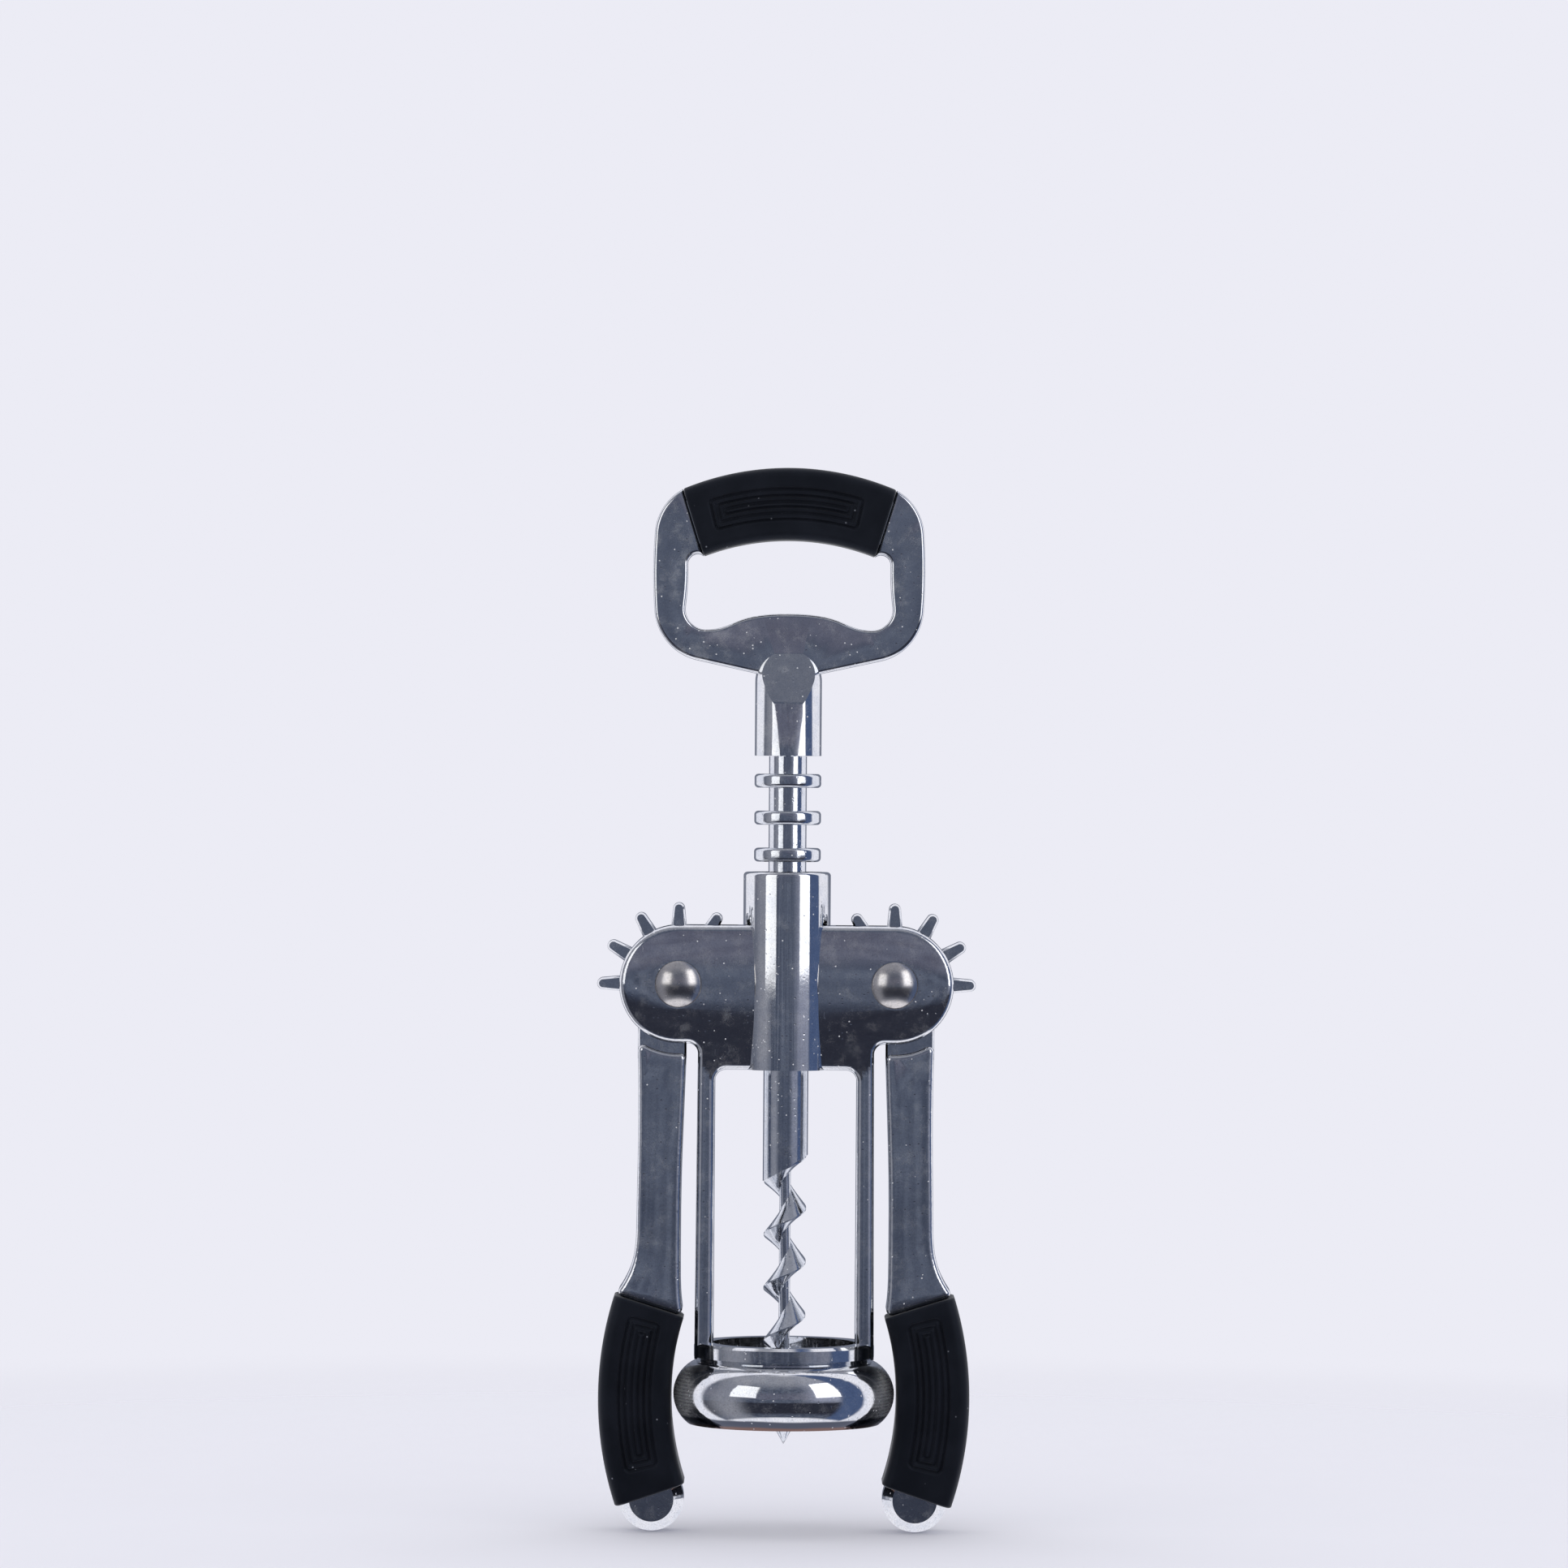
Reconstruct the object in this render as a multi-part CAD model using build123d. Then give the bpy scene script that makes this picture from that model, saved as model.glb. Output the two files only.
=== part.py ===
from build123d import *
import math
import os

# Winged (lever) corkscrew with a cap-lifter handle, in millimetres.
# Origin: centre of the bell's bottom rim. +Z runs up along the worm, +X to the right wing,
# and -Y is the front. Rest is as stored: wings down beside the bell, handle up.

# --- bell: takes the bottle's neck ---
BELL_BORE_RADIUS = 15.2
BELL_WALL = 4.65
BELL_HEIGHT = 12.0
BELL_SEAT_WIDTH = 2.4
BELL_SEAT_HEIGHT = 9.6
BELL_EQUATOR = 5.3
BELL_RIM_WIDTH = 2.0
BELL_SHOULDER_INSET = 4.4
BELL_SHOULDER_DROP = 0.5
RIM_CHAMFER = 0.5
COLLAR_HEIGHT = 2.5
COLLAR_STEP = 0.4
COLLAR_CHAMFER = 0.5

# --- legs, web and guide tube ---
WINDOW_HEIGHT = 49.1
WINDOW_CORNER = 2.0
LEG_WIDTH = 3.1
LEG_OVERHANG = 0.1
LEG_ROOT = 0.3
LEG_FOOT_SPREAD = 0.3
LINTEL_HEIGHT = 2.5
WEB_HALF_DEPTH = 5.4
WEB_CROWN_RADIUS = 100.0
WEB_HOLLOW_RADIUS = 30.0
CROWN_BELOW_PIVOT = 1.4
PLATE_EDGE_ROUNDING = 1.3
ARMPIT_RADIUS = 1.8
ARMPIT_SHARE = 0.8
EAR_OVER_HUB = 0.6
TUBE_WALL = 1.55
TUBE_ABOVE_EARS = 9.6
TUBE_LIP_ROUNDING = 0.7
GUIDE_GAP = 0.3

# --- rack and gears ---
TEETH_PER_TURN = 12
TOOTH_COUNT = 7
RING_COUNT = 7
RING_PITCH = 6.65
RING_RADIUS = 6.0
RING_THICKNESS = 2.5
RING_ROUNDING = 0.7
NECK_RADIUS = 3.4
RACK_END = 3.6
PITCH_LINE_GAP = 0.7
TOOTH_TIP_GAP = 1.4
TOOTH_BACKLASH = 2.05
TOOTH_TAPER = 0.9
TOOTH_DEPTH = 4.6
TOOTH_TIP_DOME = 0.8
GEAR_BEVEL = 0.35
GEAR_BEVEL_DEPTH = 0.6
HUB_THICKNESS = 4.8
HUB_SIDE_GAP = 0.3
GEAR_SLOT_GAP = 0.4
GEAR_SLOT_FLOOR = 0.3

# --- rivets ---
RIVET_RADIUS = 2.5
RIVET_RUNNING_GAP = 0.05
RIVET_HEAD_RADIUS = 4.2
RIVET_HEAD_HEIGHT = 1.7
RIVET_TAIL_RADIUS = 3.7
RIVET_TAIL_HEIGHT = 1.0
SPOT_FACE_DEPTH = 0.25
SPOT_FACE_MARGIN = 0.2

# --- worm ---
WORM_PITCH = 9.6
WORM_RADIUS = 3.8
WORM_CORE_RADIUS = 1.0
WORM_CREST_HALF_FLAT = 0.12
WORM_UPPER_FLANK = 4.2
WORM_LOWER_FLANK = 2.3
WORM_FLIGHT_ROOT = 0.35
WORM_RUN_ON_TURNS = 0.3
WORM_BELOW_RIM = 3.8
WORM_POINT_LENGTH = 7.0
SHANK_RADIUS = 4.05
SHANK_END_BELOW_WINDOW_TOP = 17.7
TAIL_RADIUS = 1.9
TAIL_RUNNING_GAP = 0.05
TAIL_IN_BOSS = 12.0
THRUST_GAP = 0.1

# --- handle ---
HANDLE_HALF_WIDTH = 24.4
HANDLE_HEIGHT = 36.9
HANDLE_STOP_GAP = 1.3
BOSS_ABOVE_TOP_RING = 4.5
BOSS_DOME_BELOW_PLATE = 1.5
BOSS_FACET_LENGTH = 5.6
BOSS_FACET_SLOPE = 0.373
PLATE_THICKNESS = 4.0
PLATE_ROUNDING = 0.7
LIMB_WIDTH = 5.8
KEEL_DROP = 1.3
HEEL_INSET = 7.9
HEEL_RISE = 2.3
FLANK_LOW = 11.2
FLANK_HIGH = 25.2
FLANK_BULGE = 0.2
OPENING_FLOOR = 10.7
OPENING_FLOOR_DIP = 2.9
HUMP_HALF_WIDTH = 8.5
HUMP_SIDE_DROP = 1.1
OPENING_HEEL_INSET = 3.7
OPENING_FLANK_LOW = 4.2
OPENING_FLANK_HIGH = 11.8
OPENING_FLANK_LEAN = 0.4
WORM_PIN_RADIUS = 1.2
WORM_PIN_HEIGHT = 7.0

# --- rubber over the handle ---
ARCH_OUTER_INSET = 5.2
ARCH_INNER_INSET = 9.0
ARCH_WIDTH = 13.0
ARCH_OUTER_RISE = 3.9
ARCH_INNER_RISE = 2.9
ARCH_RUBBER_THICKNESS = 8.5
ARCH_CORE_THICKNESS = 3.2
ARCH_ROUNDING = 1.6
RUBBER_WALL = 2.3

# --- wings ---
WING_SWING_DEG = 155.0
ARM_THICKNESS = 9.6
ARM_LEG_GAP = 2.9
ARM_WIDTH = 7.9
ARM_SHOULDER_GAP = 1.8
ARM_TOP_FLARE = 0.8
ARM_ROUNDING = 1.0
ARM_LEAN = 0.03
ARM_OUTER_BENDS = ((0.5, -0.2), (0.76, 0.0), (0.92, 1.2))  # share of the way down, distance out
ARM_INNER_BENDS = ((0.84, 0.0), (0.6, -0.05))
GRIP_WIDTH = 13.1
GRIP_INNER_ARC = 48.1
GRIP_BELL_GAP = 0.35
GRIP_BELOW_EQUATOR = 0.5
GRIP_UPPER_DEG = 17.5
GRIP_LOWER_DEG = 18.7
GRIP_THICKNESS = 12.5
GRIP_ROUNDING = 2.0
WING_CORE_THICKNESS = 6.0
WING_CORE_OVERRUN_DEG = 1.2
TIP_RADIUS = 5.8
TIP_OVERHANG_DEG = 0.8
TIP_BEVEL = 1.8
TIP_BEVEL_DEPTH = 2.2

OVERLAP = 1.0  # how far pieces of one casting run into each other
NEAR = 0.1  # closer than this counts as the same place

# --- places that follow from the sizes ---
BELL_RADIUS = BELL_BORE_RADIUS + BELL_WALL
OPENING_RADIUS = BELL_BORE_RADIUS - BELL_SEAT_WIDTH
COLLAR_TOP = BELL_HEIGHT + COLLAR_HEIGHT
WINDOW_TOP = COLLAR_TOP + WINDOW_HEIGHT
LEG_INSIDE = OPENING_RADIUS - LEG_OVERHANG
LEG_OUTSIDE = LEG_INSIDE + LEG_WIDTH
COLLAR_RADIUS = LEG_OUTSIDE + COLLAR_STEP

PITCH_RADIUS = TEETH_PER_TURN * RING_PITCH / (2 * math.pi)
PIVOT_X = RING_RADIUS + PITCH_LINE_GAP + PITCH_RADIUS
TOOTH_TIP_RADIUS = PIVOT_X - NECK_RADIUS - TOOTH_TIP_GAP
HUB_RADIUS = TOOTH_TIP_RADIUS - TOOTH_DEPTH
EAR_RADIUS = HUB_RADIUS + EAR_OVER_HUB
GEAR_SLOT_RADIUS = TOOTH_TIP_RADIUS + GEAR_SLOT_GAP
PIVOT_Z = WINDOW_TOP + GEAR_SLOT_RADIUS + GEAR_SLOT_FLOOR
CROWN_Z = PIVOT_Z - CROWN_BELOW_PIVOT
TUBE_BORE = RING_RADIUS + GUIDE_GAP
TUBE_RADIUS = TUBE_BORE + TUBE_WALL
TUBE_TOP = PIVOT_Z + EAR_RADIUS + TUBE_ABOVE_EARS

LOWEST_RING = PIVOT_Z - RING_PITCH / 2
TOP_RING = LOWEST_RING + (RING_COUNT - 1) * RING_PITCH
RACK_FOOT = LOWEST_RING - RACK_END
BOSS_FOOT = TOP_RING + BOSS_ABOVE_TOP_RING
TRAVEL = math.radians(WING_SWING_DEG) * PITCH_RADIUS
PLATE_FOOT = TUBE_TOP + TRAVEL + HANDLE_STOP_GAP
DOME_Z = PLATE_FOOT - BOSS_DOME_BELOW_PLATE
HANDLE_TOP = PLATE_FOOT + HANDLE_HEIGHT

ARM_SHOULDER = EAR_RADIUS + ARM_SHOULDER_GAP
ARM_INSIDE = LEG_OUTSIDE + ARM_LEG_GAP
ARM_OUTSIDE = ARM_INSIDE + ARM_WIDTH
GRIP_CENTRE = Vector(BELL_RADIUS + GRIP_BELL_GAP - GRIP_INNER_ARC, BELL_EQUATOR - GRIP_BELOW_EQUATOR)
GRIP_OUTER_ARC = GRIP_INNER_ARC + GRIP_WIDTH


def slab(outline, thickness):
    """Plate of this front-view sketch (X to the right, Z up), centred on Y = 0."""
    return extrude(Plane.XZ * outline, amount=thickness / 2, both=True)


def upright(radius, low, high):
    """Solid cylinder along Z between two heights."""
    return Pos(0, 0, low) * extrude(Circle(radius), amount=high - low)


def outline_edges(plate):
    """Edges round the front and back faces of a plate centred on Y = 0."""
    return [edge for edge in plate.edges() if abs(edge.center().Y) > NEAR]


def long_arcs(band):
    """Curved edges of a band, without the straight ones across its ends."""
    return [edge for edge in outline_edges(band) if edge.geom_type == GeomType.CIRCLE]


def bevelled(plate, width, depth, skip=()):
    """Plate with its front and back rims bevelled, except the kinds of edge to skip."""
    for index in (0, -1):
        face = plate.faces().sort_by(Axis.Y)[index]
        rim = [edge for edge in face.edges() if edge.geom_type not in skip]
        plate = chamfer(rim, width, depth, reference=face)
    return plate


def mirrored_outline(right_half, *joins):
    """Closed face from the right half of an outline, its mirror image and what joins them."""
    left_half = [edge.mirror(Plane.YZ) for edge in right_half]
    return make_face(list(right_half) + left_half + list(joins))


# ------------------------------------------------------------------ frame casting
def bell():
    """Fat rounded ring with a collar on top, bored from below for the bottle's neck."""
    rim = (BELL_BORE_RADIUS + BELL_RIM_WIDTH, 0)
    equator = (BELL_RADIUS, BELL_EQUATOR)
    shoulder = (BELL_RADIUS - BELL_SHOULDER_INSET, BELL_HEIGHT - BELL_SHOULDER_DROP)
    collar_edge = (COLLAR_RADIUS, COLLAR_TOP - COLLAR_CHAMFER)
    section = [
        TangentArc(equator, rim, tangent=(0, -1)),
        TangentArc(equator, shoulder, tangent=(0, 1)),
        Line(shoulder, (COLLAR_RADIUS, BELL_HEIGHT)),
        Line((COLLAR_RADIUS, BELL_HEIGHT), collar_edge),
        Line(collar_edge, (COLLAR_RADIUS - COLLAR_CHAMFER, COLLAR_TOP)),
        Line((COLLAR_RADIUS - COLLAR_CHAMFER, COLLAR_TOP), (0, COLLAR_TOP)),
        Line((0, COLLAR_TOP), (0, 0)),
        Line((0, 0), rim),
    ]
    return revolve(Plane.XZ * make_face(section), Axis.Z)


def neck_bore():
    """What the bottle's neck takes out of the bell: bore, lip seat and the hole above."""
    chamfered = BELL_BORE_RADIUS + RIM_CHAMFER
    section = Polyline(
        (0, -OVERLAP),
        (chamfered + OVERLAP, -OVERLAP),
        (chamfered, 0),
        (BELL_BORE_RADIUS, RIM_CHAMFER),
        (BELL_BORE_RADIUS, BELL_SEAT_HEIGHT),
        (OPENING_RADIUS, BELL_SEAT_HEIGHT),
        (OPENING_RADIUS, COLLAR_TOP),
        (0, COLLAR_TOP),
        close=True,
    )
    return revolve(Plane.XZ * make_face(section), Axis.Z)


def plate_outline():
    """Front view of the two legs, the lintel over the window and the ears."""
    foot = BELL_HEIGHT - LEG_ROOT
    foot_x = LEG_OUTSIDE + LEG_FOOT_SPREAD
    armpit_z = PIVOT_Z - EAR_RADIUS
    stem = Polyline(
        (-foot_x, foot),
        (foot_x, foot),
        (LEG_OUTSIDE, armpit_z),
        (LEG_OUTSIDE, PIVOT_Z),
        (-LEG_OUTSIDE, PIVOT_Z),
        (-LEG_OUTSIDE, armpit_z),
        close=True,
    )
    outline = make_face(stem) + Pos(0, PIVOT_Z) * SlotCenterToCenter(2 * PIVOT_X, 2 * EAR_RADIUS)
    armpits = [
        corner
        for corner in outline.vertices()
        if abs(corner.Y - armpit_z) < NEAR and abs(abs(corner.X) - LEG_OUTSIDE) < NEAR
    ]
    armpit_radius = min(ARMPIT_RADIUS, ARMPIT_SHARE * (PIVOT_X - LEG_OUTSIDE))
    window = Pos(0, (WINDOW_TOP + foot) / 2) * Rectangle(2 * LEG_INSIDE, WINDOW_TOP - foot)
    window_corners = window.vertices().sort_by(Axis.Y)[-2:]
    return fillet(armpits, armpit_radius) - fillet(window_corners, WINDOW_CORNER)


def crown_depth(height):
    """Half the web's thickness at this height."""
    below = CROWN_Z - height
    return WEB_HALF_DEPTH - WEB_CROWN_RADIUS + math.sqrt(WEB_CROWN_RADIUS**2 - below**2)


def plate_profile():
    """Side view of the plate: straight legs, a shallow hollow, then the crowned web."""
    foot = BELL_HEIGHT - LEG_ROOT
    top = PIVOT_Z + EAR_RADIUS + OVERLAP
    hollow_top = WINDOW_TOP + LINTEL_HEIGHT
    slope = math.asin((CROWN_Z - hollow_top) / WEB_CROWN_RADIUS)
    hollow_low = hollow_top - WEB_HOLLOW_RADIUS * math.sin(slope)
    leg_half_depth = crown_depth(hollow_top) - WEB_HOLLOW_RADIUS * (1 - math.cos(slope))
    right_half = [
        Line((0, foot), (leg_half_depth, foot)),
        Line((leg_half_depth, foot), (leg_half_depth, hollow_low)),
        TangentArc(
            (leg_half_depth, hollow_low),
            (crown_depth(hollow_top), hollow_top),
            tangent=(0, 1),
        ),
        ThreePointArc(
            (crown_depth(hollow_top), hollow_top),
            (WEB_HALF_DEPTH, CROWN_Z),
            (crown_depth(top), top),
        ),
        Line((crown_depth(top), top), (0, top)),
    ]
    return mirrored_outline(right_half), (hollow_low, hollow_top)


def plate():
    """Legs and web in one plate, with every edge round its outline well rounded."""
    profile, seams = plate_profile()
    reach = PIVOT_X + EAR_RADIUS + OVERLAP
    body = slab(plate_outline(), 4 * WEB_HALF_DEPTH)
    body = body & extrude(Plane.YZ * profile, amount=reach, both=True)
    foot = BELL_HEIGHT - LEG_ROOT
    level = (foot, *seams)
    rim = []
    for edge in outline_edges(body):
        if min(abs(edge.center().Z - height) for height in level) > NEAR:
            rim.append(edge)
    return fillet(rim, PLATE_EDGE_ROUNDING)


def guide_tube():
    """Tube that the rack slides in, with a rounded upper lip."""
    tube = upright(TUBE_RADIUS, WINDOW_TOP, TUBE_TOP)
    return fillet(tube.edges().sort_by(Axis.Z)[-1], TUBE_LIP_ROUNDING)


def frame_casting():
    """Bell, legs, ears and guide tube in one casting."""
    casting = bell() + plate() + guide_tube()
    casting = casting - neck_bore()
    casting = casting - upright(TUBE_BORE, WINDOW_TOP - OVERLAP, TUBE_TOP + OVERLAP)
    spot_face_y = WEB_HALF_DEPTH - SPOT_FACE_DEPTH
    for side in (-1, 1):
        pivot = Pos(side * PIVOT_X, PIVOT_Z)
        casting = casting - slab(pivot * Circle(GEAR_SLOT_RADIUS), HUB_THICKNESS + 2 * HUB_SIDE_GAP)
        casting = casting - slab(pivot * Circle(RIVET_RADIUS), 4 * WEB_HALF_DEPTH)
        spot = Plane.XZ * (pivot * Circle(RIVET_HEAD_RADIUS + SPOT_FACE_MARGIN))
        casting = casting - extrude(Pos(0, -spot_face_y, 0) * spot, amount=OVERLAP)
        casting = casting - extrude(Pos(0, spot_face_y, 0) * spot, amount=-OVERLAP)
    return casting


# ------------------------------------------------------------------ rack
def ringed_rack():
    """Stem with round rings that both gears push, bored for the worm's tail."""
    rack = upright(NECK_RADIUS, RACK_FOOT, BOSS_FOOT - THRUST_GAP)
    for index in range(RING_COUNT):
        middle = LOWEST_RING + index * RING_PITCH
        ring = upright(RING_RADIUS, middle - RING_THICKNESS / 2, middle + RING_THICKNESS / 2)
        rack = rack + fillet(ring.edges(), RING_ROUNDING)
    return rack - upright(TAIL_RADIUS + TAIL_RUNNING_GAP, RACK_FOOT - OVERLAP, BOSS_FOOT + OVERLAP)


# ------------------------------------------------------------------ worm
def worm():
    """Sharp-edged right-hand auger, its thick shank and the thin tail up to the handle."""
    shank_end = WINDOW_TOP - SHANK_END_BELOW_WINDOW_TOP
    crest_right = shank_end + WORM_PITCH / 4
    turns = math.ceil((crest_right + WORM_BELOW_RIM) / WORM_PITCH)
    start = crest_right - turns * WORM_PITCH
    inside = WORM_FLIGHT_ROOT * WORM_CORE_RADIUS
    flight_section = Polyline(
        (inside, WORM_UPPER_FLANK),
        (WORM_RADIUS, WORM_CREST_HALF_FLAT),
        (WORM_RADIUS, -WORM_CREST_HALF_FLAT),
        (inside, -WORM_LOWER_FLANK),
        close=True,
    )
    flight_height = (turns + WORM_RUN_ON_TURNS) * WORM_PITCH
    path = Helix(pitch=WORM_PITCH, height=flight_height, radius=WORM_RADIUS / 2)
    flight = sweep(Plane.XZ * make_face(flight_section), path=path, is_frenet=True)
    flight = Pos(0, 0, start) * flight
    core = upright(WORM_CORE_RADIUS, start - WORM_PITCH, start + (turns + 2) * WORM_PITCH)
    envelope_radius = WORM_RADIUS + NEAR
    envelope = Polyline(
        (0, -WORM_BELOW_RIM),
        (envelope_radius, WORM_POINT_LENGTH - WORM_BELOW_RIM),
        (envelope_radius, shank_end + WORM_PITCH / 4),
        (0, shank_end + WORM_PITCH / 4),
        close=True,
    )
    pointed = revolve(Plane.XZ * make_face(envelope), Axis.Z)
    auger = (flight + core) & pointed

    half_rise = WORM_PITCH / 4
    slant = Polyline(
        (-SHANK_RADIUS - OVERLAP, shank_end - half_rise * (1 + OVERLAP / SHANK_RADIUS)),
        (SHANK_RADIUS + OVERLAP, shank_end + half_rise * (1 + OVERLAP / SHANK_RADIUS)),
        (SHANK_RADIUS + OVERLAP, RACK_FOOT - THRUST_GAP),
        (-SHANK_RADIUS - OVERLAP, RACK_FOOT - THRUST_GAP),
        close=True,
    )
    shank = upright(SHANK_RADIUS, shank_end - WORM_PITCH, RACK_FOOT)
    shank = shank & slab(make_face(slant), 4 * SHANK_RADIUS)
    tail = upright(TAIL_RADIUS, RACK_FOOT - OVERLAP, BOSS_FOOT + TAIL_IN_BOSS)
    return (shank + tail - worm_pin()) + auger


def worm_pin():
    """Cross pin that holds the worm's tail in the handle's boss."""
    length = 2 * math.sqrt(RING_RADIUS**2 - WORM_PIN_RADIUS**2)
    pin = extrude(Plane.YZ * Circle(WORM_PIN_RADIUS), amount=length / 2, both=True)
    return Pos(0, 0, BOSS_FOOT + WORM_PIN_HEIGHT) * pin


# ------------------------------------------------------------------ handle
ARCH_OUTER_END = Vector(HANDLE_HALF_WIDTH - ARCH_OUTER_INSET, HANDLE_TOP - ARCH_OUTER_RISE)
ARCH_INNER_END = Vector(HANDLE_HALF_WIDTH - ARCH_INNER_INSET, HANDLE_TOP - ARCH_WIDTH - ARCH_INNER_RISE)
ARCH_END_LINE = (ARCH_OUTER_END - ARCH_INNER_END).normalized()
ARCH_END_NORMAL = Vector(ARCH_END_LINE.Y, -ARCH_END_LINE.X)


def arch_sketch(wall, reach):
    """Arched band: the rubber's outline brought in by wall and drawn out past its ends by reach."""
    outer = ARCH_OUTER_END - ARCH_END_LINE * wall + ARCH_END_NORMAL * reach
    inner = ARCH_INNER_END + ARCH_END_LINE * wall + ARCH_END_NORMAL * reach
    top = (0, HANDLE_TOP - wall)
    bottom = (0, HANDLE_TOP - ARCH_WIDTH + wall)
    return make_face(
        [
            ThreePointArc((-outer.X, outer.Y), top, (outer.X, outer.Y)),
            Line((outer.X, outer.Y), (inner.X, inner.Y)),
            ThreePointArc((inner.X, inner.Y), bottom, (-inner.X, inner.Y)),
            Line((-inner.X, inner.Y), (-outer.X, outer.Y)),
        ]
    )


def loop_sketch():
    """Outline of the loop plate: sloping underside, round shoulders, limbs up to the rubber."""
    keel = Vector(0, PLATE_FOOT - KEEL_DROP)
    heel = Vector(HANDLE_HALF_WIDTH - HEEL_INSET, PLATE_FOOT + HEEL_RISE)
    low_side = (HANDLE_HALF_WIDTH - FLANK_BULGE, PLATE_FOOT + FLANK_LOW)
    high_side = (HANDLE_HALF_WIDTH - FLANK_BULGE, PLATE_FOOT + FLANK_HIGH)
    corner = TangentArc(heel, low_side, tangent=heel - keel)
    flank = TangentArc(low_side, high_side, tangent=corner % 1)
    shoulder = TangentArc(high_side, ARCH_OUTER_END, tangent=flank % 1)
    across = ThreePointArc(ARCH_OUTER_END, (0, HANDLE_TOP), (-ARCH_OUTER_END.X, ARCH_OUTER_END.Y))
    return mirrored_outline([Line(keel, heel), corner, flank, shoulder], across)


def opening_sketch():
    """Finger hole and cap lifter: a hump in its floor and round corners."""
    side = HANDLE_HALF_WIDTH - LIMB_WIDTH
    floor = PLATE_FOOT + OPENING_FLOOR
    dip = floor - OPENING_FLOOR_DIP
    heel = (side - OPENING_HEEL_INSET, dip)
    low_side = (side, dip + OPENING_FLANK_LOW)
    high_side = (side - OPENING_FLANK_LEAN, dip + OPENING_FLANK_HIGH)
    hump_side = (HUMP_HALF_WIDTH, floor - HUMP_SIDE_DROP)
    hump = Spline((0, floor), hump_side, heel, tangents=[(1, 0), (1, 0)])
    corner = TangentArc(heel, low_side, tangent=(1, 0))
    flank = TangentArc(low_side, high_side, tangent=corner % 1)
    shoulder = TangentArc(high_side, ARCH_INNER_END, tangent=flank % 1)
    across = Line(ARCH_INNER_END, (-ARCH_INNER_END.X, ARCH_INNER_END.Y))
    return mirrored_outline([hump, corner, flank, shoulder], across)


def rubber_gap_sketch():
    """Where the limbs stop: the whole band that the rubber takes, and some way above it."""
    outer = ARCH_OUTER_END + ARCH_END_LINE * 2 * ARCH_OUTER_RISE
    inner = ARCH_INNER_END - ARCH_END_LINE * NEAR / 10
    outline = Polyline(
        (-inner.X, inner.Y),
        (inner.X, inner.Y),
        (outer.X, outer.Y),
        (-outer.X, outer.Y),
        close=True,
    )
    return make_face(outline)


def boss():
    """Round boss with a domed top and a slanted facet at the front and back."""
    solid = upright(RING_RADIUS, BOSS_FOOT, DOME_Z) + Pos(0, 0, DOME_Z) * Sphere(RING_RADIUS)
    low = DOME_Z - BOSS_FACET_LENGTH
    high = DOME_Z + RING_RADIUS + OVERLAP
    high_y = RING_RADIUS - BOSS_FACET_SLOPE * (high - low)
    for side in (-1, 1):
        wedge = Polyline(
            (side * RING_RADIUS, low),
            (side * high_y, high),
            (side * 2 * RING_RADIUS, high),
            (side * 2 * RING_RADIUS, low),
            close=True,
        )
        solid = solid - extrude(Plane.YZ * make_face(wedge), amount=2 * RING_RADIUS, both=True)
    return solid


def handle_casting():
    """Loop plate with its boss, and the core that the rubber is moulded over."""
    plate = slab(loop_sketch() - opening_sketch() - rubber_gap_sketch(), PLATE_THICKNESS)
    plate = fillet(outline_edges(plate), PLATE_ROUNDING)
    core = slab(arch_sketch(RUBBER_WALL, OVERLAP), ARCH_CORE_THICKNESS)
    socket = upright(TAIL_RADIUS, BOSS_FOOT - OVERLAP, BOSS_FOOT + TAIL_IN_BOSS)
    return plate + core + boss() - socket - worm_pin()


def handle_grip():
    """Arched rubber sleeve over the top of the handle."""
    sleeve = slab(arch_sketch(0, 0), ARCH_RUBBER_THICKNESS)
    sleeve = fillet(long_arcs(sleeve), ARCH_ROUNDING)
    return sleeve - slab(arch_sketch(RUBBER_WALL, OVERLAP), ARCH_CORE_THICKNESS)


# ------------------------------------------------------------------ wings
def on_grip_arc(radius, degrees):
    """Point on a circle about the centre of the right grip's arcs, in the front view."""
    angle = math.radians(degrees)
    return GRIP_CENTRE + Vector(radius * math.cos(angle), radius * math.sin(angle))


def grip_sketch(wall, reach_deg):
    """Band between the grip's two arcs, brought in by wall and drawn out past its ends."""
    inner = GRIP_INNER_ARC + wall
    outer = GRIP_OUTER_ARC - wall
    low = -GRIP_LOWER_DEG - reach_deg
    high = GRIP_UPPER_DEG + reach_deg
    return make_face(
        [
            ThreePointArc(on_grip_arc(inner, low), on_grip_arc(inner, 0), on_grip_arc(inner, high)),
            Line(on_grip_arc(inner, high), on_grip_arc(outer, high)),
            ThreePointArc(on_grip_arc(outer, high), on_grip_arc(outer, 0), on_grip_arc(outer, low)),
            Line(on_grip_arc(outer, low), on_grip_arc(inner, low)),
        ]
    )


def tooth_sketch():
    """One gear tooth, pointing along +X from the pivot, with a rounded tip."""
    tip_half = (RING_PITCH - RING_THICKNESS - TOOTH_BACKLASH) / 2
    root_half = tip_half + TOOTH_TAPER / 2
    shoulder = TOOTH_TIP_RADIUS - TOOTH_TIP_DOME * tip_half
    root = HUB_RADIUS - OVERLAP
    return make_face(
        [
            Line((root, -root_half), (shoulder, -tip_half)),
            ThreePointArc((shoulder, -tip_half), (TOOTH_TIP_RADIUS, 0), (shoulder, tip_half)),
            Line((shoulder, tip_half), (root, root_half)),
            Line((root, root_half), (root, -root_half)),
        ]
    )


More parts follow.
